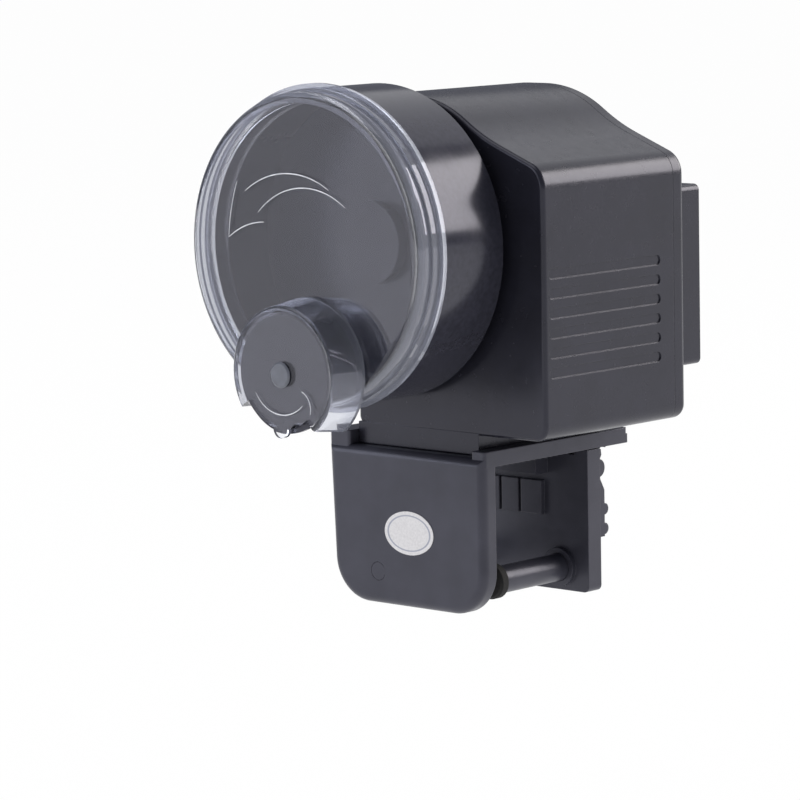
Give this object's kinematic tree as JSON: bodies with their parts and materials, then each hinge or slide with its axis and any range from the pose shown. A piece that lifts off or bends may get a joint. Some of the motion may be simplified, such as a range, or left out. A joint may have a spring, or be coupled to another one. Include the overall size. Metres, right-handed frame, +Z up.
{
  "type": "automatic fish feeder",
  "caption": "Clamp-on aquarium feeder: motor casing turns a lidded food drum with a turning outlet dial, carried on a sliding rim clamp with a control panel behind.",
  "frame": {"origin": "on the centre line of the fixed jaw's inner face, which rests against the aquarium's wall, 16.5 mm below the bracket's floor", "axes": "+X to the right seen from the drum's front, +Y from the drum towards the control panel at the back, +Z up"},
  "size_m": [0.0845, 0.1074, 0.1249],
  "materials": {
    "black_abs": "satin",
    "clear_styrene": "polished",
    "smoked_pin": "polished",
    "white_acetal": "satin",
    "soft_rubber": "matte",
    "grey_keys": "satin",
    "sticker_paper": "matte",
    "bright_steel": "brushed",
    "nickel_strip": "plated",
    "cell_jacket": "gloss",
    "board_green": "satin",
    "key_black": "matte",
    "screen_grey": "polished"
  },
  "bodies": {
    "bracket": {"bracket_frame": "black_abs", "inspection_sticker": "sticker_paper"},
    "moving_jaw": {"clamp_jaw": "black_abs", "lever_pin": "bright_steel", "lever_spring": "bright_steel"},
    "lever": {"release_lever": "black_abs"},
    "left_pad": {"clamp_pad_left": "soft_rubber"},
    "left_screw": {"clamp_screw_left": "black_abs"},
    "right_pad": {"clamp_pad_right": "soft_rubber"},
    "right_screw": {"clamp_screw_right": "black_abs"},
    "feeder": {"housing_shell": "black_abs", "rear_cover": "black_abs", "battery_holder": "black_abs", "battery_cell_front": "cell_jacket", "battery_cell_rear": "cell_jacket", "battery_contacts": "nickel_strip", "case_screws": "bright_steel", "control_panel": "black_abs", "circuit_board": "board_green", "board_screws": "bright_steel", "lcd_module": "screen_grey", "lcd_window": "clear_styrene", "key_switches": "key_black", "output_bush": "white_acetal", "idler_pin": "bright_steel", "gear_motor": "bright_steel", "gear_plate": "black_abs", "motor_screws": "bright_steel", "plate_screws": "bright_steel"},
    "door": {"battery_door": "black_abs"},
    "mode_key": {"button_mode": "grey_keys"},
    "minus_key": {"button_minus": "grey_keys"},
    "plus_key": {"button_plus": "grey_keys"},
    "feed_key": {"button_feed": "grey_keys"},
    "output": {"drive_shaft": "white_acetal", "output_gear": "white_acetal", "shaft_clip": "bright_steel"},
    "idler": {"idler_gear": "white_acetal"},
    "pinion": {"motor_pinion": "white_acetal", "motor_shaft": "bright_steel"},
    "drum": {"drum_shell": "black_abs"},
    "lid": {"drum_lid": "clear_styrene", "outlet_gate": "black_abs", "dial_pivot": "smoked_pin"},
    "dial": {"outlet_cap": "clear_styrene"}
  },
  "joints": [
    {"name": "feeder_slide", "type": "slide", "parent": "bracket", "child": "feeder", "axis": [0, -1, 0], "range_m": [0, 0.02]},
    {"name": "jaw_slide", "type": "slide", "parent": "bracket", "child": "moving_jaw", "axis": [0, 1, 0], "range_m": [-0.004, 0.008]},
    {"name": "lever_press", "type": "hinge", "parent": "moving_jaw", "child": "lever", "pos_m": [0, 0.0404, 0.011], "axis": [-1, 0, 0], "range_deg": [0, 8], "stiffness_Nm_per_rad": 0.05, "springref_deg": -11.46, "deforming": ["lever_spring"]},
    {"name": "left_pad_slide", "type": "slide", "parent": "moving_jaw", "child": "left_pad", "axis": [0, 1, 0], "range_m": [-0.0025, 0.016]},
    {"name": "left_screw_turn", "type": "hinge", "parent": "left_pad", "child": "left_screw", "pos_m": [-0.01475, 0.02, -0.0126], "axis": [0, 1, 0], "range_deg": [-460, 2900]},
    {"name": "right_pad_slide", "type": "slide", "parent": "moving_jaw", "child": "right_pad", "axis": [0, 1, 0], "range_m": [-0.0025, 0.016]},
    {"name": "right_screw_turn", "type": "hinge", "parent": "right_pad", "child": "right_screw", "pos_m": [0.01475, 0.02, -0.0126], "axis": [0, 1, 0], "range_deg": [-460, 2900]},
    {"name": "battery_door_pull", "type": "slide", "parent": "feeder", "child": "door", "axis": [0, 1, 0], "range_m": [0, 0.015]},
    {"name": "mode_key_press", "type": "slide", "parent": "feeder", "child": "mode_key", "axis": [0, -1, 0], "range_m": [0, 0.0005], "stiffness_N_per_m": 600, "springref_m": -0.001},
    {"name": "minus_key_press", "type": "slide", "parent": "feeder", "child": "minus_key", "axis": [0, -1, 0], "range_m": [0, 0.0005], "stiffness_N_per_m": 600, "springref_m": -0.001},
    {"name": "plus_key_press", "type": "slide", "parent": "feeder", "child": "plus_key", "axis": [0, -1, 0], "range_m": [0, 0.0005], "stiffness_N_per_m": 600, "springref_m": -0.001},
    {"name": "feed_key_press", "type": "slide", "parent": "feeder", "child": "feed_key", "axis": [0, -1, 0], "range_m": [0, 0.0005], "stiffness_N_per_m": 600, "springref_m": -0.001},
    {"name": "drum_spin", "type": "hinge", "parent": "feeder", "child": "output", "pos_m": [-0.00675, 0, 0.068], "axis": [0, 1, 0], "continuous": true},
    {"name": "idler_spin", "type": "hinge", "parent": "feeder", "child": "idler", "pos_m": [0.0158, 0.01, 0.05979], "axis": [0, 1, 0], "continuous": true},
    {"name": "pinion_spin", "type": "hinge", "parent": "feeder", "child": "pinion", "pos_m": [0.00828, 0.01, 0.03912], "axis": [0, 1, 0], "continuous": true},
    {"name": "drum_pull", "type": "slide", "parent": "output", "child": "drum", "axis": [0, -1, 0], "range_m": [0, 0.012]},
    {"name": "lid_pull", "type": "slide", "parent": "drum", "child": "lid", "axis": [0, -1, 0], "range_m": [0, 0.01]},
    {"name": "dial_turn", "type": "hinge", "parent": "lid", "child": "dial", "pos_m": [-0.00425, -0.037, 0.0405], "axis": [0, -1, 0], "range_deg": [0, 120]}
  ],
  "couplings": [
    {"joint": "idler_spin", "follows": "drum_spin", "ratio": -3},
    {"joint": "pinion_spin", "follows": "drum_spin", "ratio": 8},
    {"joint": "left_screw_turn", "follows": "left_pad_slide", "rad_per_m": 3141.6},
    {"joint": "right_screw_turn", "follows": "right_pad_slide", "rad_per_m": 3141.6}
  ]
}
